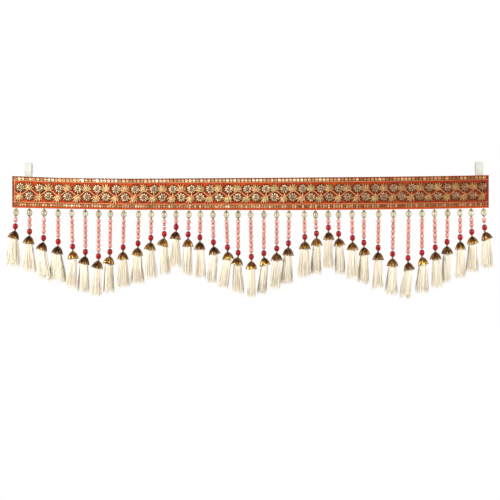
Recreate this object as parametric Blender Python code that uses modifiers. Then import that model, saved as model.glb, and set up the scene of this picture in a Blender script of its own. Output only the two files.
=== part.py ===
"""A toran: an embroidered cloth band for the head of a doorway, with a zigzag fringe of beaded tassels.

The band hangs from two tape loops sewn to its back. Thirty-seven strings of beads hang from the selvedge
along its lower edge, each ending in a petal cap that holds the head of a yarn tassel. The strings grow and
shrink by one bead at a time, which draws three points along the doorway.

Metres, +X to the right, +Z up, the front faces -Y. The origin is at the middle of the band's top edge, on
its back plane.
"""
import math
import random
from collections import namedtuple

import bmesh
import bpy
import numpy as np
from mathutils import Matrix, Vector

MM = 0.001
CLEARANCE = 0.3 * MM
HEAD_CLEARANCE = 0.33 * MM
MERGE = 0.02 * MM

# Band of cloth: its length, its thickness, the turned hems at its ends and the waves that it hangs in
BAND_LENGTH = 1.000
HALF_LENGTH = BAND_LENGTH / 2
CLOTH = 2.0 * MM
HEM_WIDTH = 7.0 * MM
HEM_THICKNESS = 2.8 * MM
WAVE_DEPTH = 2.0 * MM
WAVE_LENGTH = 0.420
BAND_COLUMNS = 46
BAND_ROWS = 2

# Top and bottom edge of the hung band, in mm from the origin, at places along it
EdgeRow = namedtuple("EdgeRow", "along_mm top_mm bottom_mm")
BAND_EDGES = (
    EdgeRow(-500, 4.0, -62.2),
    EdgeRow(-400, 0.2, -64.5),
    EdgeRow(-260, -1.5, -66.6),
    EdgeRow(-140, -1.0, -67.3),
    EdgeRow(0, 0.0, -67.5),
    EdgeRow(120, 1.2, -67.3),
    EdgeRow(250, 2.2, -66.5),
    EdgeRow(370, 3.6, -65.2),
    EdgeRow(500, 6.0, -62.6),
)

# Selvedge along the lower edge, in three lengths, that the strings are sewn to
SELVEDGE = 3.5 * MM
SELVEDGE_COLUMNS = 14
FIRST_DROPS = {"left": 1, "middle": 14, "right": 26}

# Bead string, measured down from the selvedge: where each piece sits and how wide it is
SIDES = 6
ROOT_DEPTH = 1.2 * MM
ROOT_RADIUS = 0.6 * MM
THREAD = 0.9 * MM
SEED_DROP, SEED_RADIUS = 2.0 * MM, 1.75 * MM
SEED_END = 3.7 * MM
CLEAR_DROP, CLEAR_RADIUS, CLEAR_BELT = 10.3 * MM, 6.2 * MM, 2.3 * MM
COLLAR_DROP, COLLAR_RADIUS = 17.6 * MM, 1.9 * MM
PINK_DROP, PINK_RADIUS, PINK_PITCH = 24.4 * MM, 4.3 * MM, 10.0 * MM
PINK_NECK = 1.4 * MM
RED_DROP, RED_RADIUS, RED_BELT = 38.0 * MM, 5.2 * MM, 1.9 * MM
RED_END = 43.4 * MM
CAP_DROP = 47.7 * MM

# Petal cap, measured down from its crown: a thin bell, open below
CROWN_RADIUS = 1.6 * MM
SHOULDER_DROP, SHOULDER_RADIUS = 5.4 * MM, 7.0 * MM
RIM_DROP, RIM_RADIUS = 14.4 * MM, 11.0 * MM
CAP_WALL = 0.9 * MM
HOLLOW_DROP, HOLLOW_RADIUS = 2.2 * MM, 1.5 * MM

# Tassel, measured down from the cap's crown
HEAD_DROP = 12.2 * MM
HEAD_RADIUS = 7.3 * MM
HEM_DROP = 73.3 * MM
LOCK_PARTING = 0.45 * MM
LOCK_TAPER = 0.90
UNDERSIDE = 0.1 * MM
HEM_DEPTH = 0.82
RAGGED = 1.6 * MM
DEPTH_LEAN = 1.3
SPLIT_TASSEL = 4
SPLIT_SPREAD = 5.0 * MM
MIDDLE_LOCK_BIAS = 0.2

# The drops from left to right: place along the band, lean of the string, tilt of the cap, lean of the tassel
# (degrees, + towards +X), the width of the tassel's hem and the slack in the string's thread
Drop = namedtuple("Drop", "along_mm string_lean cap_tilt tassel_lean hem_mm slack_mm")
DROPS = (
    Drop(-492, -2, -15, -2, 32, 1.3),
    Drop(-464, 0, -9, 3, 28, 1.3),
    Drop(-433, -1, -16, 6, 24, 4.4),
    Drop(-404, 0, -9, 0, 26, 1.2),
    Drop(-376, 2, 3, -4, 21, 1.2),
    Drop(-347, 0, -13, -1, 24, 2.0),
    Drop(-319, 0, -11, -2, 26, 0.6),
    Drop(-294, -1, -9, 0, 24, 1.1),
    Drop(-266, -1, -2, 0, 27, 1.1),
    Drop(-235, -1, -6, 0, 26, 2.4),
    Drop(-208, -1, -8, 2, 27, 0.8),
    Drop(-181, 0, -14, 6, 20, 2.6),
    Drop(-156, 0, -7, 0, 23, -2.2),
    Drop(-129, -2, -1, -3, 23, 3.3),
    Drop(-105, -1, -1, 1, 24, -0.5),
    Drop(-79, 1, 9, -6, 20, -0.5),
    Drop(-51, 2, 5, -11, 22, 0.3),
    Drop(-26, 0, -9, 2, 26, 1.5),
    Drop(0, 1, 0, 1, 20, 0.0),
    Drop(28, 0, 10, -6, 18, 2.6),
    Drop(55, 0, 0, -4, 25, 2.7),
    Drop(81, -1, -2, -3, 23, 1.5),
    Drop(113, 1, 0, -2, 28, -1.4),
    Drop(136, 3, 0, -1, 23, 1.5),
    Drop(163, 1, 2, -1, 21, -0.9),
    Drop(185, 0, 8, 2, 21, 2.4),
    Drop(213, 1, 0, -1, 24, 1.0),
    Drop(238, 0, 5, -2, 21, 1.3),
    Drop(269, -1, 0, 0, 26, 2.2),
    Drop(300, -1, 0, -4, 26, 5.7),
    Drop(332, -1, 10, -9, 24, 4.4),
    Drop(360, 0, 12, -2, 27, 3.6),
    Drop(386, 1, 2, 2, 23, 3.1),
    Drop(414, -1, 2, -1, 21, 1.8),
    Drop(440, 0, 1, 0, 22, 2.7),
    Drop(463, 2, 8, 0, 26, 1.8),
    Drop(489, 3, 18, 0, 24, 3.4),
)

# Hanging loops: tape folded into an eye above the band, both tails sewn flat to the band's back
LOOP_PLACES = {"left": -0.4666, "right": 0.4802}
TAPE_WIDTH = 16.0 * MM
TAPE = 1.0 * MM
EYE_HEIGHT = 27.0 * MM
EYE_HALF_DEPTH = 6.2 * MM
EYE_STEPS = 16
TAIL_LENGTH = 15.0 * MM
LOOP_LIFT = 0.6 * MM

COLOURS = {
    "band": (0.57, 0.05, 0.01, 1.0),
    "loop": (0.84, 0.82, 0.75, 1.0),
    "fringe": (0.80, 0.33, 0.26, 1.0),
    "tassel": (0.90, 0.83, 0.69, 1.0),
}


def clear_scene():
    for item in list(bpy.data.objects):
        bpy.data.objects.remove(item, do_unlink=True)


def make_collection(name):
    made = bpy.data.collections.new(name)
    bpy.context.scene.collection.children.link(made)
    return made


def make_object(name, mesh, collection, finish, roughness=0.8, metallic=0.0):
    """An object with a Principled material of its own."""
    made = bpy.data.objects.new(name, mesh)
    collection.objects.link(made)
    material = bpy.data.materials.new(name + "_finish")
    material.use_nodes = True
    shader = material.node_tree.nodes["Principled BSDF"]
    shader.inputs["Base Color"].default_value = COLOURS[finish]
    shader.inputs["Roughness"].default_value = roughness
    shader.inputs["Metallic"].default_value = metallic
    mesh.materials.append(material)
    return made


def add_solidify(item, thickness, group=None):
    modifier = item.modifiers.new("Thickness", "SOLIDIFY")
    modifier.thickness = thickness
    modifier.offset = 0.0
    modifier.use_even_offset = True
    if group:
        modifier.vertex_group = group


def band_edges(along):
    """Heights of the band's top and bottom edge at a place along it."""
    places = [row.along_mm * MM for row in BAND_EDGES]
    top = np.interp(along, places, [row.top_mm * MM for row in BAND_EDGES])
    bottom = np.interp(along, places, [row.bottom_mm * MM for row in BAND_EDGES])
    return float(top), float(bottom)


def wave(along):
    """How far back the cloth swings at a place along it; it hangs flat towards the loops."""
    calm = 1 - (along / HALF_LENGTH) ** 4
    return WAVE_DEPTH * math.sin(2 * math.pi * along / WAVE_LENGTH) * calm


def cloth_point(along, height):
    """A point of the cloth's middle layer."""
    return Vector((along, wave(along) - CLOTH / 2, height))


def cloth_grid(name, places, rows, edges):
    """A sheet of cloth with a column at each of the places along the band; edges gives its top and bottom height."""
    bm = bmesh.new()
    bmesh.ops.create_grid(bm, x_segments=len(places) - 1, y_segments=rows, size=1.0)
    for vert in bm.verts:
        along = places[round((vert.co.x + 1) / 2 * (len(places) - 1))]
        top, bottom = edges(along)
        vert.co = cloth_point(along, bottom + (top - bottom) * (vert.co.y + 1) / 2)
    mesh = bpy.data.meshes.new(name)
    bm.to_mesh(mesh)
    bm.free()
    return mesh


def make_band(collection):
    """The embroidered cloth down to its selvedge, with a thicker turned hem at each end."""

    def edges(along):
        top, bottom = band_edges(along)
        return top, bottom + SELVEDGE + CLEARANCE

    stitched = HALF_LENGTH - HEM_WIDTH
    places = [-HALF_LENGTH, *np.linspace(-stitched, stitched, BAND_COLUMNS - 1), HALF_LENGTH]
    mesh = cloth_grid("band", places, BAND_ROWS, edges)
    band = make_object("band", mesh, collection, "band")
    group = band.vertex_groups.new(name="thickness")
    for vert in mesh.vertices:
        in_hem = abs(vert.co.x) > stitched + CLEARANCE
        group.add([vert.index], 1.0 if in_hem else CLOTH / HEM_THICKNESS, "REPLACE")
    add_solidify(band, HEM_THICKNESS, "thickness")


def make_loop(side, collection):
    """A tape loop: up the band's back, round a drop-shaped eye above its top edge, and down behind itself."""
    along = LOOP_PLACES[side]
    ends = (along - TAPE_WIDTH / 2, along + TAPE_WIDTH / 2)
    base = max(band_edges(x)[0] for x in ends) + LOOP_LIFT
    first = max(wave(x) for x in ends) + CLEARANCE + TAPE / 2
    second = first + TAPE + CLEARANCE
    steps = EYE_STEPS + 2
    bm = bmesh.new()
    bmesh.ops.create_grid(bm, x_segments=1, y_segments=steps, size=1.0)
    for vert in bm.verts:
        step = round((vert.co.y + 1) / 2 * steps) - 1
        turn = 2 * math.pi * min(max(step / EYE_STEPS, 0), 1)
        depth = first + (second - first) * turn / (2 * math.pi)
        depth -= EYE_HALF_DEPTH * math.sin(turn) * math.sin(turn / 2)
        height = base + EYE_HEIGHT * (1 - math.cos(turn)) / 2
        if step < 0 or step > EYE_STEPS:
            height = base - TAIL_LENGTH
        vert.co = Vector((along + vert.co.x * TAPE_WIDTH / 2, depth, height))
    mesh = bpy.data.meshes.new("hanging_loop_" + side)
    bm.to_mesh(mesh)
    bm.free()
    loop = make_object("hanging_loop_" + side, mesh, collection, "loop")
    add_solidify(loop, TAPE)


def turned_mesh(name, outline):
    """Turn a half outline of (radius, drop) points about the vertical, SIDES to a round."""
    profile = bpy.data.meshes.new(name)
    points = [(radius, 0.0, -drop) for radius, drop in outline]
    profile.from_pydata(points, [(i, i + 1) for i in range(len(points) - 1)], [])
    turned = bpy.data.objects.new(name, profile)
    bpy.context.scene.collection.objects.link(turned)
    screw = turned.modifiers.new("Turn", "SCREW")
    screw.steps = SIDES
    screw.render_steps = SIDES
    screw.use_merge_vertices = True
    screw.merge_threshold = MERGE
    depsgraph = bpy.context.evaluated_depsgraph_get()
    mesh = bpy.data.meshes.new_from_object(turned.evaluated_get(depsgraph))
    bpy.data.objects.remove(turned, do_unlink=True)
    mesh.name = name
    return mesh


def pinks_of(number):
    """Pink beads on a drop: one at the ends and between the points, seven at each point's tip."""
    step = (number - 1) % 12
    return 1 + min(step, 12 - step)


def pink_drops(number):
    """How far down a drop each of its pink beads hangs; they share out the slack in its thread."""
    pinks = pinks_of(number)
    share = DROPS[number - 1].slack_mm * MM / pinks
    return [PINK_DROP + PINK_PITCH * i + share * (i + 0.5) for i in range(pinks)]


def string_shift(number):
    """How much lower the red bead and the cap hang than they would under one pink bead and no slack."""
    return PINK_PITCH * (pinks_of(number) - 1) + DROPS[number - 1].slack_mm * MM


def string_outline(number):
    """Half outline of a string: seed, clear bead, collar, pink beads, red bead, and the cap down to its hollow."""
    drops = pink_drops(number)
    shift = string_shift(number)
    outline = [(0.0, -ROOT_DEPTH), (ROOT_RADIUS, -ROOT_DEPTH), (SEED_RADIUS, SEED_DROP), (THREAD, SEED_END)]
    outline += [(CLEAR_RADIUS, CLEAR_DROP - CLEAR_BELT), (CLEAR_RADIUS, CLEAR_DROP + CLEAR_BELT)]
    outline += [(COLLAR_RADIUS, COLLAR_DROP)]
    for centre in drops:
        outline += [(PINK_NECK, centre - PINK_PITCH / 2), (PINK_RADIUS, centre)]
    outline += [(PINK_NECK, drops[-1] + PINK_PITCH / 2)]
    outline += [(RED_RADIUS, RED_DROP + shift - RED_BELT), (RED_RADIUS, RED_DROP + shift + RED_BELT)]
    outline += [(THREAD, RED_END + shift)]
    crown = CAP_DROP + shift
    outline += [(CROWN_RADIUS, crown), (SHOULDER_RADIUS, crown + SHOULDER_DROP), (RIM_RADIUS, crown + RIM_DROP)]
    outline += [(RIM_RADIUS - CAP_WALL, crown + RIM_DROP)]
    outline += [(SHOULDER_RADIUS - CAP_WALL, crown + SHOULDER_DROP + CAP_WALL / 2)]
    outline += [(HOLLOW_RADIUS, crown + HOLLOW_DROP), (0.0, crown + HOLLOW_DROP - CLEARANCE)]
    return outline


def head_outline():
    """Half outline of a tassel's head, a clearance inside the cap's hollow."""
    inside = HEAD_CLEARANCE
    outline = [(0.0, HOLLOW_DROP + inside), (HOLLOW_RADIUS - inside / 2, HOLLOW_DROP + inside)]
    outline += [(SHOULDER_RADIUS - CAP_WALL - inside / 2, SHOULDER_DROP + CAP_WALL / 2 + inside)]
    outline += [(HEAD_RADIUS, HEAD_DROP), (0.0, HEAD_DROP)]
    return outline


def drop_top(drop):
    """Where a drop's string leaves the selvedge."""
    along = drop.along_mm * MM
    return cloth_point(along, band_edges(along)[1])


def hung(drop, number, point):
    """Carry a point of a straight drop, with its top at the origin, to where it hangs: the string leans,
    its cap tilts about its crown, and the tassel's locks leave the head at a lean of their own."""
    crown = CAP_DROP + string_shift(number)
    forward = DEPTH_LEAN if number % 2 else -DEPTH_LEAN
    links = ((0.0, drop.string_lean), (crown, drop.cap_tilt), (crown + HEAD_DROP, drop.tassel_lean))
    place = drop_top(drop)
    reached = 0.0
    turn = Matrix.Identity(3)
    for start, lean in links:
        if start > 0 and -point.z <= start + 1e-6:
            break
        place = place + turn @ Vector((0, 0, reached - start))
        reached = start
        sideways = Matrix.Rotation(math.radians(-lean), 3, "Y")
        turn = sideways @ Matrix.Rotation(math.radians(-forward), 3, "X")
    return place + turn @ Vector((point.x, point.y, point.z + reached))


def make_fringe(side, collection, cutters):
    """A length of selvedge with its bead strings and caps fused to it."""
    firsts = sorted(FIRST_DROPS.values()) + [len(DROPS) + 1]
    first = FIRST_DROPS[side]
    last = firsts[firsts.index(first) + 1] - 1
    numbers = range(first, last + 1)
    start = -HALF_LENGTH if first == 1 else between(first - 1) + CLEARANCE / 2
    end = HALF_LENGTH if last == len(DROPS) else between(last) - CLEARANCE / 2

    def edges(along):
        bottom = band_edges(along)[1]
        return bottom + SELVEDGE, bottom

    mesh = cloth_grid("bead_fringe_" + side, np.linspace(start, end, SELVEDGE_COLUMNS + 1), 1, edges)
    fringe = make_object("bead_fringe_" + side, mesh, collection, "fringe", roughness=0.35)
    add_solidify(fringe, CLOTH)

    joined = bmesh.new()
    for number in numbers:
        drop = DROPS[number - 1]
        straight = turned_mesh("string", string_outline(number))
        for vert in straight.vertices:
            vert.co = hung(drop, number, vert.co)
        joined.from_mesh(straight)
        bpy.data.meshes.remove(straight)
    strings_mesh = bpy.data.meshes.new("strings_" + side)
    joined.to_mesh(strings_mesh)
    joined.free()
    strings = bpy.data.objects.new("strings_" + side, strings_mesh)
    cutters.objects.link(strings)
    strings.hide_render = True
    strings.display_type = "WIRE"
    union = fringe.modifiers.new("Sewn strings", "BOOLEAN")
    union.operation = "UNION"
    union.solver = "EXACT"
    union.object = strings


def between(number):
    """Halfway along the band between a drop and the next one."""
    return (DROPS[number - 1].along_mm + DROPS[number].along_mm) / 2 * MM


def make_tassel(number, collection):
    """A tassel: a head inside the cap and six three-sided locks of yarn fused to its underside."""
    drop = DROPS[number - 1]
    name = f"tassel_{number:02d}"
    chance = random.Random(number)
    mesh = turned_mesh(name, head_outline())
    bm = bmesh.new()
    bm.from_mesh(mesh)
    underside = [f for f in bm.faces if max(v.co.z for v in f.verts) < UNDERSIDE - HEAD_DROP]
    bmesh.ops.inset_individual(bm, faces=underside, thickness=LOCK_PARTING, use_even_offset=True)
    ends = bmesh.ops.extrude_discrete_faces(bm, faces=underside)["faces"]
    for face in ends:
        middle = face.calc_center_median()
        for vert in face.verts:
            vert.co = middle + (vert.co - middle) * LOCK_TAPER
    reach = max(abs(v.co.x) for face in ends for v in face.verts)
    widen = drop.hem_mm * MM / 2 / reach
    for face in ends:
        middle = face.calc_center_median()
        length = HEM_DROP - HEAD_DROP + chance.uniform(-RAGGED, RAGGED)
        parted = 0.0
        if number == SPLIT_TASSEL:
            # the middle locks, one at the front and one at the back, part to either side
            parted = math.copysign(SPLIT_SPREAD, middle.x + middle.y * MIDDLE_LOCK_BIAS)
        for vert in face.verts:
            x = vert.co.x * widen + parted
            vert.co = Vector((x, vert.co.y * widen * HEM_DEPTH, -HEAD_DROP - length))
    crown = CAP_DROP + string_shift(number)
    for vert in bm.verts:
        vert.co = hung(drop, number, vert.co - Vector((0, 0, crown)))
    bm.to_mesh(mesh)
    bm.free()
    make_object(name, mesh, collection, "tassel")


def main():
    clear_scene()
    hanging = make_collection("toran_door_hanging")
    cutters = make_collection("sewn_in")
    make_band(hanging)
    for side in LOOP_PLACES:
        make_loop(side, hanging)
    for side in FIRST_DROPS:
        make_fringe(side, hanging, cutters)
    for number in range(1, len(DROPS) + 1):
        make_tassel(number, hanging)


main()
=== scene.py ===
"""Looks of the toran: embroidered band, sequins, bead strings, petal caps, yarn tassels and tape loops.

Metres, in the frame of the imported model: +X to the right, +Z up, the front faces -Y, and the origin is at the
middle of the band's top edge on its back plane. Sizes named with MM are written in millimetres.
"""

import math
import random
from collections import namedtuple

import bmesh
import bpy
import numpy as np
from mathutils import Matrix, Vector


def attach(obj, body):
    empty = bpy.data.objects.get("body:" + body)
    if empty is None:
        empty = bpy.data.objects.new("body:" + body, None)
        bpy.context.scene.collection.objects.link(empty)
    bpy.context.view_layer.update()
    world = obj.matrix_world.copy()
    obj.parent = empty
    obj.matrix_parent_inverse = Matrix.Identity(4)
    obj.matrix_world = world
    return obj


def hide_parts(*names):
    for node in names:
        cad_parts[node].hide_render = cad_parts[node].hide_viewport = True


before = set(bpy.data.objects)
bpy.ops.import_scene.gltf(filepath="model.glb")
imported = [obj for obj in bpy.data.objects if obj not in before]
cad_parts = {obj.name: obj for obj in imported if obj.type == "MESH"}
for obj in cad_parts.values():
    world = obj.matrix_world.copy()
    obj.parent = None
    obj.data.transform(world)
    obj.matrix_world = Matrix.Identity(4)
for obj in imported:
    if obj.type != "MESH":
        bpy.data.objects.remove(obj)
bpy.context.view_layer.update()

MM = 0.001
FRONT = Vector((0, -1, 0))
BACK = Vector((0, 1, 0))

# The photograph's framing: one pixel at the object, and the pixel that the origin falls on
PIXEL = 2.1 * MM
ORIGIN_PIXEL = (250.5, 178.0)
PHOTO_WIDTH = 500
VIEW_DISTANCE = 2.5
SENSOR_MM = 36.0

# Band of cloth, as the solids have it
BAND_LENGTH = 1.000
HALF_LENGTH = BAND_LENGTH / 2
CLOTH = 2.0 * MM
HEM_WIDTH = 7.0 * MM
HEM_EXTRA = 0.4 * MM
WAVE_DEPTH = 2.0 * MM
WAVE_LENGTH = 0.420

EdgeRow = namedtuple("EdgeRow", "along_mm top_mm bottom_mm")
BAND_EDGES = (
    EdgeRow(-500, 4.0, -62.2),
    EdgeRow(-400, 0.2, -64.5),
    EdgeRow(-260, -1.5, -66.6),
    EdgeRow(-140, -1.0, -67.3),
    EdgeRow(0, 0.0, -67.5),
    EdgeRow(120, 1.2, -67.3),
    EdgeRow(250, 2.2, -66.5),
    EdgeRow(370, 3.6, -65.2),
    EdgeRow(500, 6.0, -62.6),
)

# Layout of the embroidery: shares of the band's height, from its top edge down
TOP_SEQUINS, LOW_SEQUINS = 0.074, 0.893
TOP_LINE, LOW_LINE = 0.136, 0.818
TOP_FLOWERS, LOW_FLOWERS = 0.348, 0.608
VINE_MIDDLE, VINE_SWING = 0.494, 0.082
FIRST_FLOWER = -482.8 * MM
FLOWER_PITCH = 40.54 * MM
PITCH_LOSS = 0.0696 * MM
LOWER_STEP = 0.46
TOP_FLOWER_COUNT = 26
SEQUIN_PITCH = 7.8 * MM
LOW_SEQUIN_PITCH = 5.4 * MM
END_LINE_INSET = 5.5 * MM
PETALS = 10

# Bead string, measured down from the band's lower edge
SEED_DROP = 2.0 * MM
CLEAR_DROP, CLEAR_RADIUS, CLEAR_HALF = 10.3 * MM, 6.4 * MM, 6.7 * MM
COLLAR_DROP = 18.0 * MM
PINK_DROP, PINK_RADIUS, PINK_HALF, PINK_PITCH = 24.2 * MM, 4.4 * MM, 4.8 * MM, 10.0 * MM
RED_DROP, RED_RADIUS, RED_HALF = 37.9 * MM, 5.5 * MM, 6.7 * MM
CAP_SEED_DROP = 45.9 * MM
CAP_DROP = 47.7 * MM
CAP_HEIGHT, CAP_RIM = 14.4 * MM, 11.0 * MM
HEAD_DROP = 12.2 * MM
HEAD_RADIUS = 6.8 * MM
HEM_DROP = 73.3 * MM
DEPTH_LEAN = 1.3
SPLIT_TASSEL = 4
SPLIT_SPREAD = 5.0 * MM
HEM_DEPTH = 0.82
STRANDS = 200

# The drops from left to right: place along the band, lean of the string, tilt of the cap, lean of the tassel
# (degrees, + towards +X), the width of the tassel's hem and the slack in the string's thread
Drop = namedtuple("Drop", "along_mm string_lean cap_tilt tassel_lean hem_mm slack_mm")
DROPS = (
    Drop(-492, -2, -15, -2, 32, 1.3),
    Drop(-464, 0, -9, 3, 28, 1.3),
    Drop(-433, -1, -16, 6, 24, 4.4),
    Drop(-404, 0, -9, 0, 26, 1.2),
    Drop(-376, 2, 3, -4, 21, 1.2),
    Drop(-347, 0, -13, -1, 24, 2.0),
    Drop(-319, 0, -11, -2, 26, 0.6),
    Drop(-294, -1, -9, 0, 24, 1.1),
    Drop(-266, -1, -2, 0, 27, 1.1),
    Drop(-235, -1, -6, 0, 26, 2.4),
    Drop(-208, -1, -8, 2, 27, 0.8),
    Drop(-181, 0, -14, 6, 20, 2.6),
    Drop(-156, 0, -7, 0, 23, -2.2),
    Drop(-129, -2, -1, -3, 23, 3.3),
    Drop(-105, -1, -1, 1, 24, -0.5),
    Drop(-79, 1, 9, -6, 20, -0.5),
    Drop(-51, 2, 5, -11, 22, 0.3),
    Drop(-26, 0, -9, 2, 26, 1.5),
    Drop(0, 1, 0, 1, 20, 0.0),
    Drop(28, 0, 10, -6, 18, 2.6),
    Drop(55, 0, 0, -4, 25, 2.7),
    Drop(81, -1, -2, -3, 23, 1.5),
    Drop(113, 1, 0, -2, 28, -1.4),
    Drop(136, 3, 0, -1, 23, 1.5),
    Drop(163, 1, 2, -1, 21, -0.9),
    Drop(185, 0, 8, 2, 21, 2.4),
    Drop(213, 1, 0, -1, 24, 1.0),
    Drop(238, 0, 5, -2, 21, 1.3),
    Drop(269, -1, 0, 0, 26, 2.2),
    Drop(300, -1, 0, -4, 26, 5.7),
    Drop(332, -1, 10, -9, 24, 4.4),
    Drop(360, 0, 12, -2, 27, 3.6),
    Drop(386, 1, 2, 2, 23, 3.1),
    Drop(414, -1, 2, -1, 21, 1.8),
    Drop(440, 0, 1, 0, 22, 2.7),
    Drop(463, 2, 8, 0, 26, 1.8),
    Drop(489, 3, 18, 0, 24, 3.4),
)

# Hanging loops
LOOP_PLACES = {"left": -0.4666, "right": 0.4802}
TAPE_WIDTH = 16.0 * MM
TAPE = 1.0 * MM
EYE_HEIGHT = 27.0 * MM
EYE_HALF_DEPTH = 6.2 * MM
TAIL_LENGTH = 15.0 * MM
LOOP_LIFT = 0.6 * MM
CLEARANCE = 0.3 * MM


# The hung shapes, worked out as the solids are

def band_edges(along):
    """Heights of the band's top and bottom edge at a place along it."""
    places = [row.along_mm * MM for row in BAND_EDGES]
    top = np.interp(along, places, [row.top_mm * MM for row in BAND_EDGES])
    bottom = np.interp(along, places, [row.bottom_mm * MM for row in BAND_EDGES])
    return float(top), float(bottom)


def wave(along):
    """How far back the cloth swings at a place along it."""
    calm = 1 - min(abs(along / HALF_LENGTH), 1) ** 4
    return WAVE_DEPTH * math.sin(2 * math.pi * along / WAVE_LENGTH) * calm


def on_band(along, share, proud=0.0, side=FRONT):
    """A point a little proud of the band's front or back face, at a share of its height from the top."""
    top, bottom = band_edges(along)
    face = -CLOTH if side is FRONT else 0.0
    return Vector((along, wave(along) + face + side.y * proud, top + (bottom - top) * share))


def pinks_of(number):
    """Pink beads on a drop: one at the ends and between the points, seven at each point's tip."""
    step = (number - 1) % 12
    return 1 + min(step, 12 - step)


def string_shift(number):
    """How much lower the red bead and the cap hang than they would under one pink bead and no slack."""
    return PINK_PITCH * (pinks_of(number) - 1) + DROPS[number - 1].slack_mm * MM


def crown_of(number):
    return CAP_DROP + string_shift(number)


def hung(number, point):
    """Carry a point of a straight drop, with its top at the origin, to where it hangs, with its turn.
    The string leans, its cap tilts about its crown, and the tassel leaves the head at a lean of its own."""
    drop = DROPS[number - 1]
    crown = crown_of(number)
    forward = DEPTH_LEAN if number % 2 else -DEPTH_LEAN
    links = ((0.0, drop.string_lean), (crown, drop.cap_tilt), (crown + HEAD_DROP, drop.tassel_lean))
    along = drop.along_mm * MM
    place = Vector((along, wave(along) - CLOTH / 2, band_edges(along)[1]))
    reached = 0.0
    turn = Matrix.Identity(3)
    for start, lean in links:
        if start > 0 and -point.z <= start + 1e-6:
            break
        place = place + turn @ Vector((0, 0, reached - start))
        reached = start
        sideways = Matrix.Rotation(math.radians(-lean), 3, "Y")
        turn = sideways @ Matrix.Rotation(math.radians(-forward), 3, "X")
    return place + turn @ Vector((point.x, point.y, point.z + reached)), turn


# Node trees: one way to add a node, and values that take part in sums

class Value:
    """A shader socket that can stand in sums."""

    def __init__(self, nodes, socket):
        self.nodes = nodes
        self.socket = socket

    def _sum(self, operation, first, second):
        return self.nodes.add("ShaderNodeMath", {"operation": operation}, {0: first, 1: second})

    def __add__(self, other):
        return self._sum("ADD", self, other)

    def __sub__(self, other):
        return self._sum("SUBTRACT", self, other)

    def __rsub__(self, other):
        return self._sum("SUBTRACT", other, self)

    def __mul__(self, other):
        return self._sum("MULTIPLY", self, other)

    def __pow__(self, other):
        return self._sum("POWER", self, other)

    def above(self, other):
        return self._sum("GREATER_THAN", self, other)

    def sine(self):
        return self._sum("SINE", self, 0.0)

    def size(self):
        return self._sum("ABSOLUTE", self, 0.0)

    __radd__ = __add__
    __rmul__ = __mul__


class Nodes:
    """Adds nodes to a tree: settings first, then the values or links of the sockets."""

    def __init__(self, tree):
        self.tree = tree

    def add(self, kind, settings=(), inputs=(), output=0):
        node = self.tree.nodes.new(kind)
        for key, value in dict(settings).items():
            if key == "stops":
                ramp = node.color_ramp.elements
                while len(ramp) < len(value):
                    ramp.new(1.0)
                for stop, (place, colour) in zip(ramp, value):
                    stop.position = place
                    stop.color = colour
            else:
                setattr(node, key, value)
        for key, value in dict(inputs).items():
            if isinstance(value, Value):
                self.tree.links.new(value.socket, node.inputs[key])
            else:
                node.inputs[key].default_value = value
        return Value(self, node.outputs[output])

    def attribute(self, name):
        return self.add("ShaderNodeAttribute", {"attribute_name": name}, output="Fac")

    def mix(self, share, first, second):
        """Mix two colours."""
        return self.add("ShaderNodeMix", {"data_type": "RGBA", "clamp_factor": True}, {0: share, 6: first, 7: second}, output=2)

    def place(self):
        return self.add("ShaderNodeTexCoord", output="Object")

    def noise(self, scale, detail=3.0, stretch=(1, 1, 1)):
        vector = self.add("ShaderNodeMapping", {}, {"Vector": self.place(), "Scale": stretch})
        return self.add("ShaderNodeTexNoise", {}, {"Vector": vector, "Scale": scale, "Detail": detail})


def srgb(red, green, blue):
    """A colour read as 0 to 255 on a screen, as the linear values that a shader takes."""
    lines = [c / 255 for c in (red, green, blue)]
    return (*[c / 12.92 if c <= 0.04045 else ((c + 0.055) / 1.055) ** 2.4 for c in lines], 1.0)


class Finish(Nodes):
    """A material on one Principled shader."""

    def __init__(self, name, **constants):
        self.material = bpy.data.materials.new(name)
        self.material.use_nodes = True
        super().__init__(self.material.node_tree)
        self.shader = self.tree.nodes["Principled BSDF"]
        for key, value in constants.items():
            self.shader.inputs[key.replace("_", " ").title().replace("Ior", "IOR")].default_value = value

    def feed(self, name, value):
        self.tree.links.new(value.socket, self.shader.inputs[name])

    def bump(self, height, strength, distance):
        made = self.add("ShaderNodeBump", {}, {"Height": height, "Strength": strength, "Distance": distance})
        self.feed("Normal", made)


# Finishes

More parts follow.
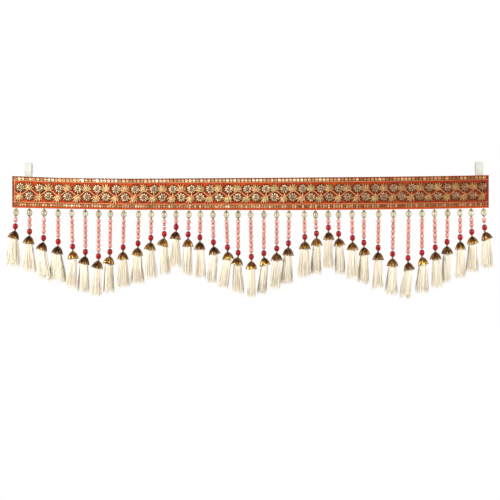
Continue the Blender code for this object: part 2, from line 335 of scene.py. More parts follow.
def cloth_finish():
    """Orange-red cloth: plain weave, darker under the sequins, maroon at the very top, rust behind; painted shade
    darkens it along the turned hems at both ends and towards the right end.
    """
    cloth = Finish("orange cloth", roughness=0.75, specular_ior_level=0.15)
    share = cloth.attribute("share")
    front = cloth.attribute("front")
    field = cloth.mix(cloth.noise(30.0, 4.0) * 2.4 - 0.7, srgb(148, 26, 10), srgb(194, 72, 6))
    edge = cloth.add("ShaderNodeValToRGB", {"stops": [
        (0.0, (1, 1, 1, 1)), (0.03, (0.9, 0.9, 0.9, 1)), (0.12, (0.6, 0.6, 0.6, 1)), (0.15, (0, 0, 0, 1)),
        (0.81, (0, 0, 0, 1)), (0.85, (0.6, 0.6, 0.6, 1)), (0.93, (0.6, 0.6, 0.6, 1)), (0.95, (0, 0, 0, 1))]},
        {"Fac": share})
    # Painted shade along the turned hems at both ends, mixed in with the maroon bands.
    edge = edge + cloth.attribute("hemmed")
    selvedge = share * 60.0 - 56.4
    bands_and_hem_shade = cloth.mix(edge, field, srgb(84, 26, 14))
    # Painted shade: the cloth is darkened towards the right end.
    dimmed_cloth = cloth.mix(cloth.attribute("dull") * 0.7, bands_and_hem_shade, srgb(124, 34, 8))
    coloured = cloth.mix(selvedge, dimmed_cloth, srgb(174, 66, 8))
    behind = cloth.mix(cloth.noise(40.0, 3.0), srgb(176, 62, 30), srgb(198, 84, 44))
    cloth.feed("Base Color", cloth.mix(front, behind, coloured))
    warp = (cloth.attribute("warp") * (2 * math.pi)).sine()
    weft = (cloth.attribute("weft") * (2 * math.pi)).sine()
    cloth.bump(warp * weft, 0.5, 0.15 * MM)
    return cloth.material


def thread_finish(name, dull, bright, roughness=0.34, metallic=0.55, sage=0.0, right_shade=None):
    """Metallic embroidery thread: satin stitches across each piece, brighter where its tint is high; the tint may carry
    painted highlights and painted shade.
    It may have patches gone sage green, and painted shade that darkens it towards the hanging's right end."""
    thread = Finish(name, roughness=roughness, metallic=metallic)
    tint = thread.attribute("tint")
    speckle = thread.noise(900.0, 2.0)
    coloured = thread.mix(tint * 0.75 + speckle * 0.4, dull, bright)
    if sage:
        coloured = thread.mix((thread.noise(75.0, 2.0) * 5.0 - 2.2) * sage, coloured, srgb(166, 168, 110))
    # Painted shade: the thread darkens from about the middle to the right end.
    if right_shade:
        along = thread.add("ShaderNodeSeparateXYZ", {}, {"Vector": thread.place()}, output="X")
        coloured = thread.mix(along * 1.8 - 0.1, coloured, right_shade)
    thread.feed("Base Color", coloured)
    satin = (thread.attribute("length") * 60.0).sine().size()
    thread.bump(satin, 0.6, 0.25 * MM)
    return thread.material


def sequin_finish():
    sequin = Finish("sequin foil", metallic=0.7, coat_weight=0.25, coat_roughness=0.2)
    tint = sequin.attribute("tint")
    colours = sequin.add("ShaderNodeValToRGB", {"stops": [
        (0.0, srgb(132, 76, 34)), (0.3, srgb(176, 126, 76)), (0.6, srgb(212, 168, 122)),
        (0.82, srgb(234, 200, 164)), (1.0, srgb(246, 228, 206))]}, {"Fac": tint})
    sequin.feed("Base Color", colours)
    sequin.feed("Roughness", 0.5 - tint * 0.16)
    return sequin.material


def bead_finish(name, colour, deep, **constants):
    """Acrylic bead: deeper in tint about its two holes as painted shade where the beads meet, and a little so from bead
    to bead.
    """
    bead = Finish(name, **constants)
    share = bead.noise(260.0, 2.0) * 0.4 + bead.attribute("tint") * 0.3 - 0.12
    # pole is 1 at the holes: painted shade there.
    bead.feed("Base Color", bead.mix(share + bead.attribute("pole") ** 3.0 * 0.9, colour, deep))
    return bead.material


def cap_finish():
    """Antique gold: bright on the petals' edges, with painted shade in their grooves and about the crown, and broad
    painted reflections as bright and dark patches.
    """
    cap = Finish("antique gold", metallic=0.9, coat_weight=0.25, coat_roughness=0.1)
    groove = cap.attribute("groove")
    rim = cap.attribute("rim")
    # Broad noise patches: painted reflections, bright and dark, on the gold.
    patches = cap.noise(95.0, 2.0)
    worn = cap.noise(420.0, 4.0)
    share = groove * 0.3 + patches * 1.8 + worn * 0.4 - rim * 0.25 - cap.attribute("tint") * 0.3 - 0.45
    colours = cap.add("ShaderNodeValToRGB", {"stops": [
        (0.0, srgb(228, 196, 104)), (0.2, srgb(180, 132, 50)), (0.48, srgb(128, 80, 26)),
        (0.76, srgb(84, 52, 14)), (1.0, srgb(50, 30, 8))]}, {"Fac": share})
    cap.feed("Base Color", colours)
    cap.feed("Roughness", 0.18 + worn * 0.25)
    cap.bump(worn, 0.35, 0.3 * MM)
    return cap.material


def yarn_finish():
    yarn = Finish("ivory yarn", roughness=0.85, sheen_weight=0.5, sheen_roughness=0.4)
    tint = yarn.attribute("tint")
    yarn.feed("Base Color", yarn.mix(tint, srgb(250, 243, 228), srgb(238, 225, 198)))
    yarn.bump(yarn.noise(1500.0, 3.0, (1, 1, 0.25)), 0.4, 0.3 * MM)
    return yarn.material


def tape_finish():
    """Off-white tape with a fine rib along its length."""
    tape = Finish("off-white tape", roughness=0.8, sheen_weight=0.3)
    rib = (tape.attribute("across") * (2 * math.pi * 14)).sine()
    pick = (tape.attribute("length") * (2 * math.pi * 60)).sine()
    tape.feed("Base Color", tape.mix(tape.noise(150.0, 3.0), srgb(194, 194, 184), srgb(180, 180, 168)))
    tape.bump(rib * 0.7 + pick * 0.5, 0.5, 0.2 * MM)
    return tape.material


# Meshes

def plain_object(name, mesh):
    made = bpy.data.objects.new(name, mesh)
    bpy.context.scene.collection.objects.link(made)
    return made


def ride(piece, replaced=()):
    """Fasten a finished piece to the hanging's one body."""
    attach(piece, "root")
    if replaced:
        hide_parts(*replaced)
    return piece


def mesh_of(name, points, faces=(), edges=()):
    mesh = bpy.data.meshes.new(name)
    mesh.from_pydata([tuple(p) for p in points], list(edges), list(faces))
    return mesh


def write(mesh, name, values, kind="FLOAT"):
    """Store a value for each point of a mesh."""
    field = "vector" if kind == "FLOAT_VECTOR" else "value"
    stored = mesh.attributes.new(name, kind, "POINT")
    stored.data.foreach_set(field, np.asarray(values, dtype=float).ravel())


def turned(name, outline, sides):
    """Turn a closed half outline of (radius, height) points about the vertical."""
    count = len(outline)
    points = []
    faces = []
    for side in range(sides):
        angle = 2 * math.pi * side / sides
        points += [(r * math.cos(angle), r * math.sin(angle), z) for r, z in outline]
        after = (side + 1) % sides
        for i in range(count):
            j = (i + 1) % count
            faces.append((side * count + i, side * count + j, after * count + j, after * count + i))
    mesh = mesh_of(name, points, faces)
    mesh.shade_smooth()
    return mesh


def bead_mesh(name, radius, half, hole, rings, sides, power=1.0):
    """A bead with a hole down its middle; a power below 1 makes it squarer."""
    top = math.asin(min(hole / radius, 1.0))
    outline = []
    for i in range(rings + 1):
        angle = top + (math.pi - 2 * top) * i / rings
        z = math.copysign(abs(math.cos(angle)) ** power, math.cos(angle))
        outline.append((max(radius * math.sin(angle) ** power, hole), half * z))
    mesh = turned(name, outline, sides)
    write(mesh, "pole", [abs(v.co.z) / half for v in mesh.vertices])
    return mesh


def lobe_mesh(steps=6, arms=2):
    """A padded satin-stitch lobe, one unit long from its root along X, with a crease along its middle."""
    width, rise, crease = 0.5, 0.34, 0.10
    points, faces, length, across = [], [], [], []
    columns = 2 * arms + 1
    for i in range(steps + 1):
        t = i / steps
        half = width / 2 * math.sin(math.pi * min(max(t, 0.015), 0.985)) ** 0.75
        for j in range(columns):
            u = j / arms - 1
            dome = (1 - abs(u) ** 2.2) * (1 - crease * 2 * (1 - abs(u)) ** 3)
            points.append((t, half * u, rise * dome * half / width * 2 * 0.9))
            length.append(t)
    top_count = len(points)
    for i in range(steps + 1):
        for j in (0, columns - 1):
            x, y, z = points[i * columns + j]
            points.append((x, y, -0.08))
            length.append(i / steps)
    for i in range(steps):
        for j in range(columns - 1):
            a = i * columns + j
            faces.append((a, a + columns, a + columns + 1, a + 1))
        left, right = top_count + 2 * i, top_count + 2 * i + 1
        a, b = i * columns, i * columns + columns - 1
        faces.append((a, left, left + 2, a + columns))
        faces.append((b, b + columns, right + 2, right))
        faces.append((left, right, right + 2, left + 2))
    last = steps * columns
    faces.append((*range(columns - 1, -1, -1), top_count, top_count + 1))
    faces.append((*range(last, last + columns), top_count + 2 * steps + 1, top_count + 2 * steps))
    mesh = mesh_of("lobe", points, faces)
    write(mesh, "length", length)
    bm = bmesh.new()
    bm.from_mesh(mesh)
    bmesh.ops.recalc_face_normals(bm, faces=bm.faces)
    bm.to_mesh(mesh)
    bm.free()
    mesh.shade_smooth()
    return mesh


PLUMP_STITCH = ((0.02, -0.5), (0.34, -0.36), (0.5, -0.1), (0.5, 0.1), (0.34, 0.36), (0.02, 0.5))
FINE_STITCH = ((0.02, -0.5), (0.46, -0.26), (0.46, 0.26), (0.02, 0.5))


def stitch_mesh(name, outline, sides):
    """A short stitch, one unit long and one wide, centred, lying along X."""
    mesh = turned(name, outline, sides)
    mesh.transform(Matrix.Rotation(math.pi / 2, 4, "Y"))
    write(mesh, "length", [v.co.x + 0.5 for v in mesh.vertices])
    return mesh


# Geometry node trees

def new_tree(name, sockets):
    tree = bpy.data.node_groups.new(name, "GeometryNodeTree")
    tree.interface.new_socket("Seedbed", in_out="INPUT", socket_type="NodeSocketGeometry")
    for label, kind in sockets.items():
        tree.interface.new_socket(label, in_out="INPUT", socket_type="NodeSocket" + kind)
    tree.interface.new_socket("Grown", in_out="OUTPUT", socket_type="NodeSocketGeometry")
    nodes = Nodes(tree)
    entry = tree.nodes.new("NodeGroupInput")
    given = {socket.name: Value(nodes, socket) for socket in entry.outputs if socket.name}
    return tree, nodes, given


def close_tree(nodes, geometry, finish):
    """Every tree ends in realized geometry with its material."""
    real = nodes.add("GeometryNodeRealizeInstances", {}, {"Geometry": geometry})
    painted = nodes.add("GeometryNodeSetMaterial", {}, {"Geometry": real, "Material": finish})
    way_out = nodes.tree.nodes.new("NodeGroupOutput")
    nodes.tree.links.new(painted.socket, way_out.inputs["Grown"])


def scatter_tree():
    """A shape at every point, with the point's own turn and size."""
    tree, nodes, given = new_tree("scatter", {"Shape": "Object", "Finish": "Material"})
    vector = {"data_type": "FLOAT_VECTOR"}
    turn = nodes.add("GeometryNodeInputNamedAttribute", vector, {"Name": "turn"})
    size = nodes.add("GeometryNodeInputNamedAttribute", vector, {"Name": "size"})
    rotation = nodes.add("FunctionNodeEulerToRotation", {}, {"Euler": turn})
    shape = nodes.add("GeometryNodeObjectInfo", {}, {"Object": given["Shape"]}, output="Geometry")
    placed = nodes.add("GeometryNodeInstanceOnPoints", {}, {
        "Points": given["Seedbed"], "Instance": shape, "Rotation": rotation, "Scale": size})
    close_tree(nodes, placed, given["Finish"])
    return tree


def stitch_tree():
    """Stitches laid head to tail along lines, slanted to them, standing out of the cloth."""
    tree, nodes, given = new_tree("stitches", {
        "Shape": "Object", "Finish": "Material", "Spacing": "Float", "Size": "Vector", "Outward": "Vector",
        "Slant": "Float"})
    line = nodes.add("GeometryNodeMeshToCurve", {}, {"Mesh": given["Seedbed"]})
    even = nodes.add("GeometryNodeResampleCurve", {"mode": "LENGTH"}, {"Curve": line, "Length": given["Spacing"]})
    tangent = nodes.add("GeometryNodeInputTangent")
    upright = nodes.add("FunctionNodeAxesToRotation", {"primary_axis": "Z", "secondary_axis": "X"}, {
        "Primary Axis": given["Outward"], "Secondary Axis": tangent})
    slant = nodes.add("ShaderNodeCombineXYZ", {}, {"Z": given["Slant"]})
    slanted = nodes.add("FunctionNodeEulerToRotation", {}, {"Euler": slant})
    turn = nodes.add("FunctionNodeRotateRotation", {"rotation_space": "LOCAL"}, {
        "Rotation": upright, "Rotate By": slanted})
    shape = nodes.add("GeometryNodeObjectInfo", {}, {"Object": given["Shape"]}, output="Geometry")
    placed = nodes.add("GeometryNodeInstanceOnPoints", {}, {
        "Points": even, "Instance": shape, "Rotation": turn, "Scale": given["Size"]})
    close_tree(nodes, placed, given["Finish"])
    return tree


def strand_tree():
    """Round strands along lines, each line's points carrying its thickness, loosened by a fixed noise."""
    tree, nodes, given = new_tree("strands", {"Finish": "Material", "Sides": "Int", "Looseness": "Float"})
    line = nodes.add("GeometryNodeMeshToCurve", {}, {"Mesh": given["Seedbed"]})
    thick = nodes.add("GeometryNodeInputNamedAttribute", {"data_type": "FLOAT"}, {"Name": "thick"})
    free = nodes.add("GeometryNodeInputNamedAttribute", {"data_type": "FLOAT"}, {"Name": "free"})
    drift = nodes.add("ShaderNodeTexNoise", {}, {"Scale": 38.0, "Detail": 1.0}, output="Color")
    centred = nodes.add("ShaderNodeVectorMath", {"operation": "SUBTRACT"}, {0: drift, 1: (0.5, 0.5, 0.5)})
    reach = nodes.add("ShaderNodeMath", {"operation": "MULTIPLY"}, {0: free, 1: given["Looseness"]})
    offset = nodes.add("ShaderNodeVectorMath", {"operation": "SCALE"}, {0: centred, "Scale": reach})
    loose = nodes.add("GeometryNodeSetPosition", {}, {"Geometry": line, "Offset": offset})
    profile = nodes.add("GeometryNodeCurvePrimitiveCircle", {}, {"Resolution": given["Sides"], "Radius": 1.0})
    tube = nodes.add("GeometryNodeCurveToMesh", {}, {
        "Curve": loose, "Profile Curve": profile, "Scale": thick, "Fill Caps": True})
    close_tree(nodes, tube, given["Finish"])
    return tree


def grow(name, tree, seedbed, **values):
    """Run a node tree over a mesh and keep what it makes as a plain piece."""
    holder = plain_object(name + "_seedbed", seedbed)
    modifier = holder.modifiers.new("Grow", "NODES")
    modifier.node_group = tree
    for item in tree.interface.items_tree:
        if item.in_out == "INPUT" and item.name in values:
            modifier[item.identifier] = values[item.name]
    depsgraph = bpy.context.evaluated_depsgraph_get()
    mesh = bpy.data.meshes.new_from_object(holder.evaluated_get(depsgraph))
    bpy.data.objects.remove(holder, do_unlink=True)
    mesh.name = name
    mesh.shade_smooth()
    return plain_object(name, mesh)


class Shapes:
    """Small shapes that the trees copy; they leave the scene once everything has grown."""

    def __init__(self):
        self.made = []

    def keep(self, mesh):
        item = plain_object("shape_" + mesh.name, mesh)
        self.made.append(item)
        return item

    def clear(self):
        for item in self.made:
            bpy.data.objects.remove(item, do_unlink=True)


Spot = namedtuple("Spot", "place turn size tint")


def seedbed_of(name, spots):
    """A mesh of loose points that carry turn, size and tint."""
    mesh = mesh_of(name, [spot.place for spot in spots])
    write(mesh, "turn", [tuple(spot.turn.to_euler()) for spot in spots], "FLOAT_VECTOR")
    write(mesh, "size", [spot.size for spot in spots], "FLOAT_VECTOR")
    write(mesh, "tint", [spot.tint for spot in spots])
    return mesh


def lines_mesh(name, lines):
    """A mesh of open lines, each a list of points."""
    points, edges = [], []
    for line in lines:
        start = len(points)
        points += line
        edges += [(start + i, start + i + 1) for i in range(len(line) - 1)]
    return mesh_of(name, points, edges=edges)


def facing(side, spin=0.0, tip=0.0):
    """Turn a flat shape, whose face is +Z, to face out of the band, spun about its own face."""
    upright = Matrix.Rotation(math.pi / 2 if side is FRONT else -math.pi / 2, 3, "X")
    return upright @ Matrix.Rotation(spin, 3, "Z") @ Matrix.Rotation(tip, 3, "Y")


# Band cloth

def band_cloth(finish):
    """The cloth with rounded edges, turned hems at its ends and slight puckers between the stitches."""
    columns, rows = 500, 30
    rim = 4
    loop = []
    for j in range(rows + 1):
        loop.append((j / rows, 1.0, 1.0))
    for j in range(1, rim):
        angle = math.pi * j / rim
        loop.append((1.0, math.cos(angle), math.cos(angle)))
    for j in range(rows, -1, -1):
        loop.append((j / rows, -1.0, 0.0))
    for j in range(1, rim):
        angle = math.pi * j / rim
        loop.append((0.0, -math.cos(angle), 0.0))
    points, faces, share, front, warp, weft, dull, hemmed = [], [], [], [], [], [], [], []
    count = len(loop)
    for i in range(columns + 1):
        along = -HALF_LENGTH + BAND_LENGTH * i / columns
        top, bottom = band_edges(along)
        in_hem = HALF_LENGTH - abs(along) < HEM_WIDTH
        thickness = CLOTH / 2 + (HEM_EXTRA if in_hem else 0.0)
        tucked = 1 - 0.25 * max(0.0, 1 - (HALF_LENGTH - abs(along)) / (1.0 * MM))
        for down, out, is_front in loop:
            pucker = 0.22 * MM * math.sin(along * 330 + down * 9) * math.sin(down * 31 + along * 90)
            pucker *= min(1, 6 * down) * min(1, 6 * (1 - down))
            inset = 0.5 * MM * (1 if abs(out) == 1.0 and down in (0.0, 1.0) else 0)
            height = top + (bottom - top) * down
            height += inset * (1 if down == 1.0 else -1)
            y = wave(along) - CLOTH / 2 - out * thickness * tucked - pucker * (1 if out > 0 else 0.6)
            points.append((along, y, height))
            share.append(down)
            front.append(is_front)
            warp.append(along / (0.9 * MM))
            weft.append(down * 67 / 0.9)
            # dimmed: painted shade towards the right end, and a little at the left end.
            dull.append(painted_dimming(along))
            # hemmed: painted shade on the last few millimetres of each end, along the turned hem.
            hemmed.append(float(np.interp(HALF_LENGTH - abs(along), (2 * MM, 5 * MM), (0.8, 0.0))))
    for i in range(columns):
        for j in range(count):
            a, b = i * count + j, i * count + (j + 1) % count
            faces.append((a, b, b + count, a + count))
    faces.append(tuple(range(count)))
    faces.append(tuple(columns * count + j for j in range(count - 1, -1, -1)))
    mesh = mesh_of("band_cloth", points, faces)
    for name, values in (("share", share), ("front", front), ("warp", warp), ("weft", weft), ("dull", dull),
                         ("hemmed", hemmed)):
        write(mesh, name, values)
    bm = bmesh.new()
    bm.from_mesh(mesh)
    bmesh.ops.recalc_face_normals(bm, faces=bm.faces)
    bm.to_mesh(mesh)
    bm.free()
    mesh.shade_smooth()
    mesh.materials.append(finish)
    cloth = ride(plain_object("band_cloth", mesh), ["band"])
    return cloth


# Embroidery

def flower_along(step):
    """Place of a flower along the band; the pitch closes up a little from left to right."""
    return FIRST_FLOWER + FLOWER_PITCH * step - PITCH_LOSS * step * step


def flower_places():
    """Centres of the flowers as (along, share), the lower row about half a pitch after the upper one."""
    upper = [(flower_along(i), TOP_FLOWERS) for i in range(TOP_FLOWER_COUNT)]
    lower = [(flower_along(i + LOWER_STEP), LOW_FLOWERS) for i in range(TOP_FLOWER_COUNT - 1)]
    return upper, lower


def vine_share(along):
    """The vine dips under each upper flower and rises over each lower one."""
    ahead = (along - FIRST_FLOWER) / FLOWER_PITCH
    step = ahead * (1 + PITCH_LOSS / FLOWER_PITCH * ahead)
    return VINE_MIDDLE + VINE_SWING * math.cos(2 * math.pi * step)


def painted_dimming(along):
    """How much painted shade darkens the gold and the cloth: bright from the left to the middle, darker to the right.
    """
    return float(np.interp(along, (-0.5, -0.35, -0.05, 0.2, 0.5), (0.25, 0.0, 0.0, 0.6, 1.3)))


def gold_tint(along, chance, brightness=0.0):
    """How bright a stitch is: painted shade darkens it to the right, a given brightness raises or lowers it, with a
    random part.
    """
    return min(max(0.62 - 0.5 * painted_dimming(along) + brightness + chance.uniform(-0.35, 0.35), 0.0), 1.0)


def fan(along, share, middle, rays, width, rise, chance, brightness):
    """Lobes spreading from one root: each ray is its bend from the middle direction and its length in mm."""
    lobes = []
    for bend, length in rays:
        angle = math.radians(middle + bend + chance.uniform(-3, 3))
        size = (length * chance.uniform(0.94, 1.06) * MM, width * MM, rise * MM)
        # Painted light: lobes pointing left get a painted highlight, those pointing right painted shade.
        glow = brightness - 0.35 * math.cos(angle) + chance.uniform(-0.15, 0.15)
        lobes.append(Spot(on_band(along, share, 0.5 * MM), facing(FRONT, angle, -0.07), size,
                          gold_tint(along, chance, glow)))
    return lobes


def embroider(trees, shapes, finishes):
    chance = random.Random(7)
    upper, lower = flower_places()
    lobe = shapes.keep(lobe_mesh())
    stitch = shapes.keep(stitch_mesh("plump_stitch", PLUMP_STITCH, 6))
    fine_stitch = shapes.keep(stitch_mesh("fine_stitch", FINE_STITCH, 4))
    pads, petals, centres, rings, dark_rings, outline_shadows = [], [], [], [], [], []
    for along, share in upper + lower:
        # bright: the strength of a painted highlight, given to about half of the flowers.
        bright = chance.uniform(0.4, 0.9) if chance.random() < 0.5 else 0.0
        spin = chance.uniform(0, math.pi)
        pads.append(Spot(on_band(along, share, 0.2 * MM), facing(FRONT), (1, 1, 1), chance.uniform(0, 0.3)))
        for i in range(PETALS):
            angle = spin + 2 * math.pi * i / PETALS + chance.uniform(-0.08, 0.08)
            root = on_band(along, share, 2.6 * MM)
            root += Vector((math.cos(angle), 0, math.sin(angle))) * 4.3 * MM
            length = chance.uniform(4.7, 5.8) * MM
            width = chance.uniform(6.0, 7.2) * (1 - 0.25 * painted_dimming(along)) * MM
            # Painted light on the petals: a painted highlight on those pointing to the upper right, and painted shade
            # on those pointing to the lower right.
            glow = 0.08 + bright * max(0.0, math.cos(angle - math.radians(60)))
            glow -= 0.35 * max(0.0, math.cos(angle + math.radians(30)))
            petals.append(Spot(root, facing(FRONT, angle, 0.1), (length, width, 5.0 * MM),
                               gold_tint(along, chance, glow)))
        rings.append(Spot(on_band(along, share, 3.3 * MM), facing(FRONT), (1, 1, 1), gold_tint(along, chance, 0.05)))
        dark_rings.append(Spot(on_band(along, share, 3.0 * MM), facing(FRONT), (1, 1, 1), chance.uniform(0, 0.2)))
        centres.append(Spot(on_band(along, share, 3.5 * MM), facing(FRONT), (1, 1, 1), chance.random()))
        outline_shadows.append(Spot(on_band(along, share, 0.6 * MM), facing(FRONT), (1, 1, 1), chance.uniform(0, 0.4)))
    leaves = []
    for along, share in lower:
        rays = ((0, 17.5), (-18, 17.5), (18, 17.0), (-38, 15.5), (38, 15.5), (-62, 13.0), (62, 13.0))
        leaves += fan(along, share - 0.175, 94, rays, 8.0, 6.8, chance, -0.05)
    for along, share in upper:
        rays = ((0, 17.5), (-18, 18.0), (18, 16.5), (-40, 15.5), (40, 14.5), (62, 11.0))
        leaves += fan(along - 0.5 * MM, share + 0.215, -110, rays, 8.0, 6.6, chance, -0.05)
        leaves += fan(along, share + 0.245, 90, ((0, 8.5),), 6.0, 6.0, chance, 0.35)
    gold = finishes["gold"]
    dark = finishes["dark gold"]
    for name, shape, spots, finish, slot in (
        # The pads' dark thread, showing between and round the petals, is partly a real padding and partly painted
        # shade.
        ("flower_pads", shapes.keep(pad_mesh()), pads, finishes["pad"], "gold_embroidery"),
        ("flower_petals", lobe, petals, gold, "gold_embroidery"),
        # Dark rings round each flower: partly a real outline cord, partly a painted shadow round the raised flower.
        ("flower_outlines", shapes.keep(turned("outline", torus_outline(9.9 * MM, 0.8 * MM, 5), 24)), outline_shadows,
         dark, "gold_embroidery"),
        ("leaf_clusters", lobe, leaves, finishes["leaf"], "gold_embroidery"),
        ("flower_rings", shapes.keep(turned("ring", torus_outline(4.4 * MM, 0.75 * MM), 18)), rings,
         gold, "gold_embroidery"),
        ("flower_grooves", shapes.keep(turned("groove", torus_outline(3.1 * MM, 0.6 * MM), 14)), dark_rings,
         dark, "gold_embroidery"),
        ("flower_centres", shapes.keep(bead_mesh("centre", 2.4 * MM, 1.6 * MM, 0.3 * MM, 6, 10)), centres,
         finishes["flower centre"], "pink_beads"),
    ):
        grown = grow(name, trees["scatter"], seedbed_of(name, spots), Shape=shape, Finish=finish)
        ride(grown)
    gold_lines(trees, stitch, fine_stitch, finishes)
    sequin_rows(trees, shapes, fine_stitch, finishes, chance)


def pad_mesh():
    """The domed satin pad under a flower."""
    outline = [(0.3, 2.9), (4.0, 2.8), (7.2, 1.9), (9.3, 0.6), (9.5, 0.0), (0.3, 0.0)]
    return turned("pad", [(r * MM, z * MM) for r, z in outline], 20)


def torus_outline(radius, thickness, steps=6):
    turns = [2 * math.pi * i / steps for i in range(steps)]
    return [(radius + thickness * math.cos(t), thickness * math.sin(t)) for t in reversed(turns)]


def spaced(start, end, step):
    count = max(round((end - start) / step), 1)
    return [start + (end - start) * i / count for i in range(count + 1)]


def gold_lines(trees, stitch, fine_stitch, finishes):
    """The twisted gold lines beside the sequins and at the ends, the vine, and the same seams seen behind."""
    inner = HALF_LENGTH - 2.5 * MM
    end_line = HALF_LENGTH - END_LINE_INSET
    places = spaced(-inner, inner, 5 * MM)
    vine_places = spaced(-end_line, end_line, 2.5 * MM)

    def straight(share, side, proud):
        return [on_band(x, share, proud, side) for x in places]

    def upright_line(along, side, proud):
        return [on_band(along, share, proud, side) for share in spaced(TOP_LINE, LOW_LINE, 0.05)]

    def vine(side, proud):
        return [on_band(x, vine_share(x), proud, side) for x in vine_places]

    proud = 0.5 * MM
    lines = [straight(TOP_LINE, FRONT, proud), straight(LOW_LINE, FRONT, proud)]
    lines.append(upright_line(-end_line, FRONT, proud))
    ride(grow("gold_lines", trees["stitches"], lines_mesh("gold_lines", lines), Shape=stitch,
              Finish=finishes["gold line"], Spacing=2.3 * MM, Size=(3.0 * MM, 1.9 * MM, 1.5 * MM),
              Outward=FRONT, Slant=0.32))
    ride(grow("vine", trees["stitches"], lines_mesh("vine", [vine(FRONT, 1.3 * MM)]), Shape=stitch,
              Finish=finishes["vine"], Spacing=1.5 * MM, Size=(2.7 * MM, 1.9 * MM, 2.2 * MM),
              Outward=FRONT, Slant=0.5))
    behind = [straight(share, BACK, 0.1 * MM) for share in (TOP_LINE, LOW_LINE, TOP_SEQUINS, LOW_SEQUINS)]
    behind += [upright_line(x, BACK, 0.1 * MM) for x in (-end_line, end_line)]
    behind.append(vine(BACK, 0.1 * MM))
    for along, share in sum(flower_places(), []):
        for radius in (2.6, 6.6):
            turns = [2 * math.pi * i / 14 for i in range(15)]
            middle = on_band(along, share, 0.1 * MM, BACK)
            behind.append([middle + Vector((math.cos(t), 0, math.sin(t))) * radius * MM for t in turns])
    ride(grow("back_stitches", trees["stitches"], lines_mesh("back_stitches", behind), Shape=fine_stitch,
              Finish=finishes["back thread"], Spacing=3.2 * MM, Size=(2.7 * MM, 0.9 * MM, 0.6 * MM),
              Outward=BACK, Slant=0.15))


def sequin_rows(trees, shapes, fine_stitch, finishes, chance):
    """Cupped sequins in two rows, each tipped a little its own way; some catch the light, and runs of them get a
    painted highlight in their tint.
    """
    outline = [(0.5, -0.1), (1.9, 0.1), (3.3, 0.8), (3.45, 0.7), (0.5, -0.35)]
    sequin = shapes.keep(turned("sequin", [(r * MM, z * MM) for r, z in reversed(outline)], 10))
    spots, ties = [], []
    for share, pitch, shine, lap in ((TOP_SEQUINS, SEQUIN_PITCH, 0.4, 0.0), (LOW_SEQUINS, LOW_SEQUIN_PITCH, 0.2, 0.3)):
        count = round((BAND_LENGTH - 6 * MM) / pitch)
        glow = 0.3
        for i in range(count):
            along = -HALF_LENGTH + 3 * MM + pitch * (i + 0.5)
            # glow wanders along the row; where it is high, lit adds a painted highlight to the sequin's tint.
            glow = 0.72 * glow + 0.28 * chance.uniform(-0.25, 1.0)
            lit = shine * max(0.0, 1 - painted_dimming(along)) if glow > 0.5 else 0.0
            tint = 0.46 - lap / 4 + chance.uniform(-0.26, 0.26) + lit
            # Painted shade darkens the sequins towards the right end.
            tint -= 0.32 * painted_dimming(along)
            if lap == 0.0:
                tint += float(np.interp(abs(along - 0.02), (0.1, 0.22), (0.22, 0.0)))
            turn = facing(FRONT, 0.0, lap + chance.uniform(-0.16, 0.16))
            wide = 1.0 if lap == 0.0 else 0.74
            spots.append(Spot(on_band(along, share, 0.75 * MM), turn, (wide, 1.05, 1), min(max(tint, 0), 1)))
            between = on_band(along + pitch / 2, share, 0.5 * MM)
            if i < count - 1:
                ties.append(Spot(between, facing(FRONT, math.pi / 2 + chance.uniform(-0.2, 0.2)),
                                 (5.2 * MM, 1.1 * MM, 1.0 * MM), 0.2))
    ride(grow("sequins", trees["scatter"], seedbed_of("sequins", spots), Shape=sequin, Finish=finishes["sequin"]))
    ride(grow("sequin_ties", trees["scatter"], seedbed_of("sequin_ties", ties), Shape=fine_stitch,
              Finish=finishes["dark gold"]))


# Bead strings

